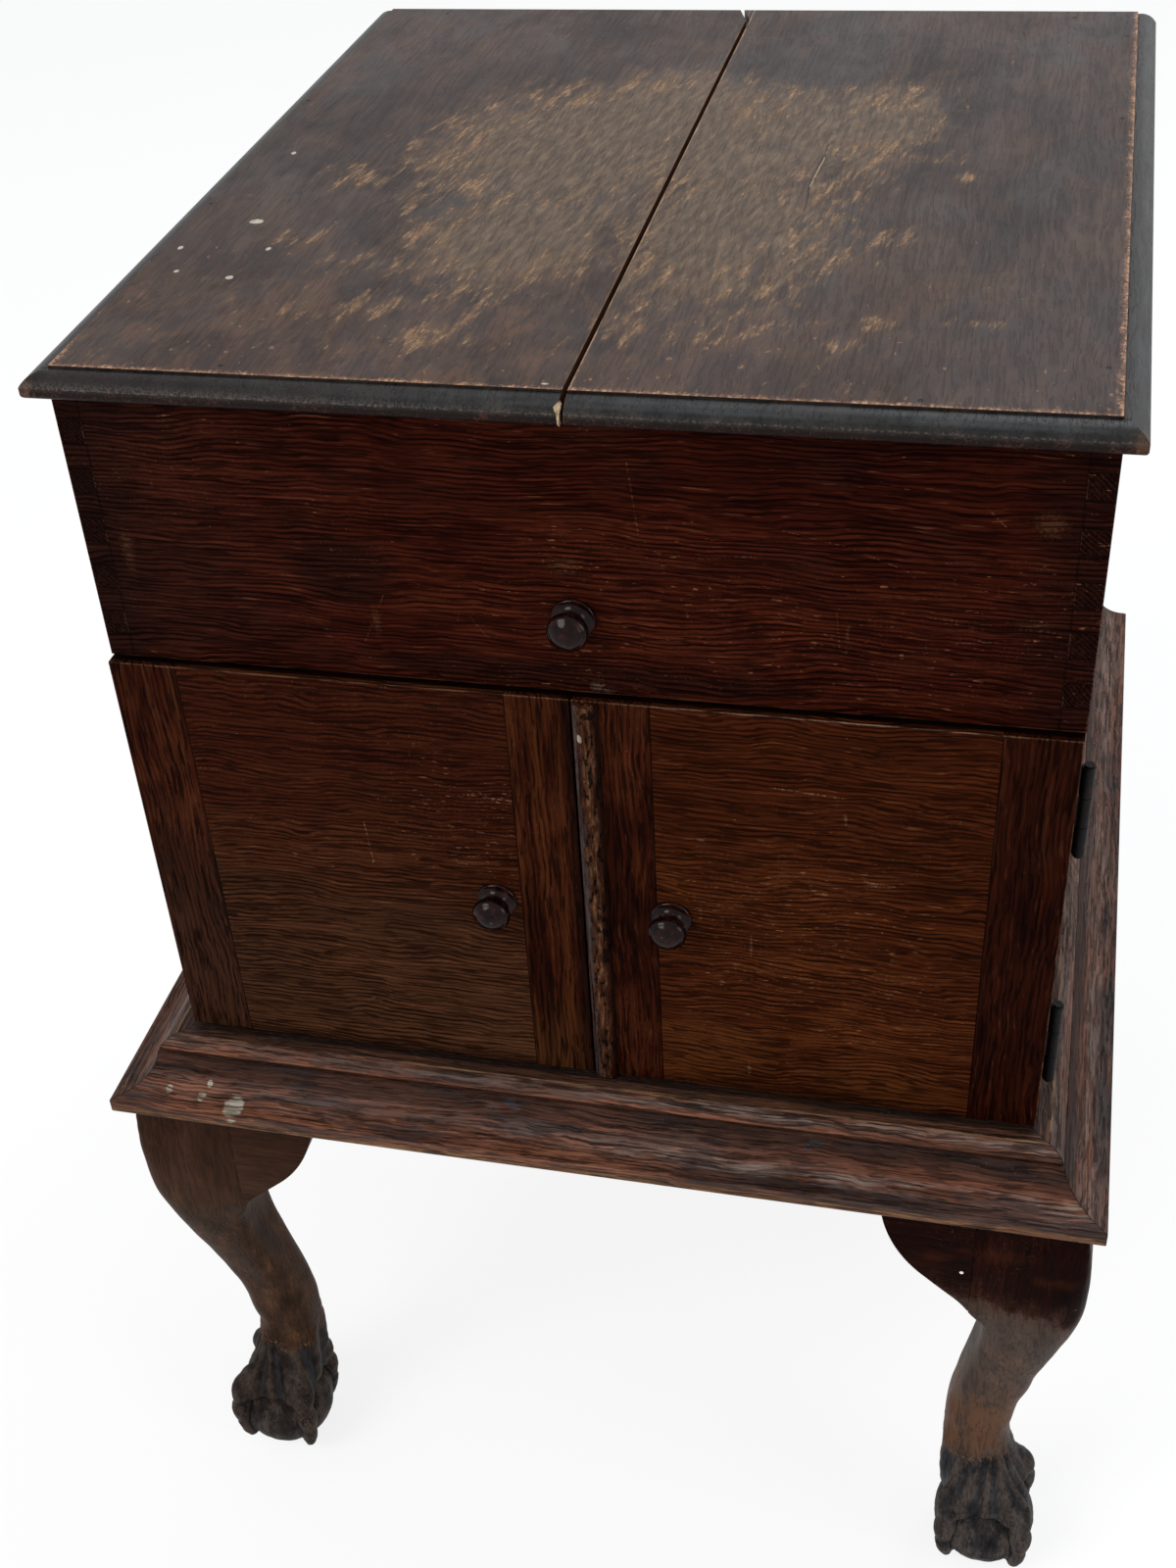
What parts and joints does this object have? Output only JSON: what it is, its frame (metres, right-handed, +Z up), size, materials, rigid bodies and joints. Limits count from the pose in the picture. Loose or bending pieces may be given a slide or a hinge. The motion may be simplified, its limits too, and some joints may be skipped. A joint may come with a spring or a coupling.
{
  "type": "storage cabinet",
  "caption": "Hooded two-door wooden cabinet on a moulded stand with short cabriole legs and ball-and-claw feet; the finger-jointed hood lifts on hinges at the back.",
  "frame": {"origin": "on the floor under the middle of the stand", "axes": "+Z up, the doors face -Y, +X to the right when facing the doors"},
  "size_m": [0.5386, 0.585, 0.765],
  "materials": {
    "lid_wood": "worn, weathered dark oak",
    "hood_wood": "very dark red-brown stained oak, satin",
    "case_wood": "dark red-brown stained oak, satin",
    "door_wood": "warm red-brown stained oak, worn",
    "inner_wood": "plain unfinished softwood",
    "stand_wood": "streaky reddish-brown stained oak, worn",
    "leg_wood": "dark stained oak, worn at the arrises",
    "knob_wood": "glossy dark red-brown",
    "iron": "black, slightly rusted",
    "brass": "dull, aged"
  },
  "bodies": {
    "case": {"case_left_side": "case_wood", "case_right_side": "case_wood", "case_bottom": "inner_wood", "case_back": "inner_wood", "deck_board": "inner_wood", "top_rail": "inner_wood", "deck_left_cleat": "inner_wood", "deck_right_cleat": "inner_wood", "quadrant_guide": "iron", "case_hinge_leaves": "iron", "hood_hinge_pins": "iron", "right_door_case_leaves": "iron", "left_door_case_leaves": "iron", "right_door_hinge_pins": "iron", "left_door_hinge_pins": "iron", "right_catch": "brass", "left_catch": "brass", "bead_front": "stand_wood", "bead_left": "stand_wood", "bead_right": "stand_wood", "plinth_front": "stand_wood", "plinth_left": "stand_wood", "plinth_right": "stand_wood", "plinth_back": "stand_wood", "leg_front_left": "leg_wood", "leg_front_right": "leg_wood", "leg_back_left": "leg_wood", "leg_back_right": "leg_wood", "ear_front_left": "leg_wood", "ear_front_right": "leg_wood", "ear_back_left": "leg_wood", "ear_back_right": "leg_wood", "side_ear_front_left": "leg_wood", "side_ear_front_right": "leg_wood", "side_ear_back_left": "leg_wood", "side_ear_back_right": "leg_wood"},
    "hood": {"hood_front": "hood_wood", "hood_back": "hood_wood", "hood_left_side": "hood_wood", "hood_right_side": "hood_wood", "lid_left_board": "lid_wood", "lid_right_board": "lid_wood", "hood_knob": "knob_wood", "hood_hinge_leaves": "iron", "lid_quadrant": "brass"},
    "right_door": {"right_door_panel": "door_wood", "right_door_hinge_stile": "door_wood", "right_door_meeting_stile": "door_wood", "right_door_knob": "knob_wood", "right_door_leaves": "iron", "right_door_strike": "brass", "right_door_meeting_bead": "door_wood"},
    "left_door": {"left_door_panel": "door_wood", "left_door_hinge_stile": "door_wood", "left_door_meeting_stile": "door_wood", "left_door_knob": "knob_wood", "left_door_leaves": "iron", "left_door_strike": "brass"}
  },
  "joints": [
    {"name": "hood_hinge", "type": "hinge", "parent": "case", "child": "hood", "pos_m": [0, 0.2815, 0.61535], "axis": [-1, 0, 0], "range_deg": [0, 74]},
    {"name": "right_door_hinge", "type": "hinge", "parent": "case", "child": "right_door", "pos_m": [0.2334, -0.237, 0.495], "axis": [0, 0, 1], "range_deg": [0, 170]},
    {"name": "left_door_hinge", "type": "hinge", "parent": "case", "child": "left_door", "pos_m": [-0.2334, -0.237, 0.495], "axis": [0, 0, -1], "range_deg": [0, 170]}
  ]
}
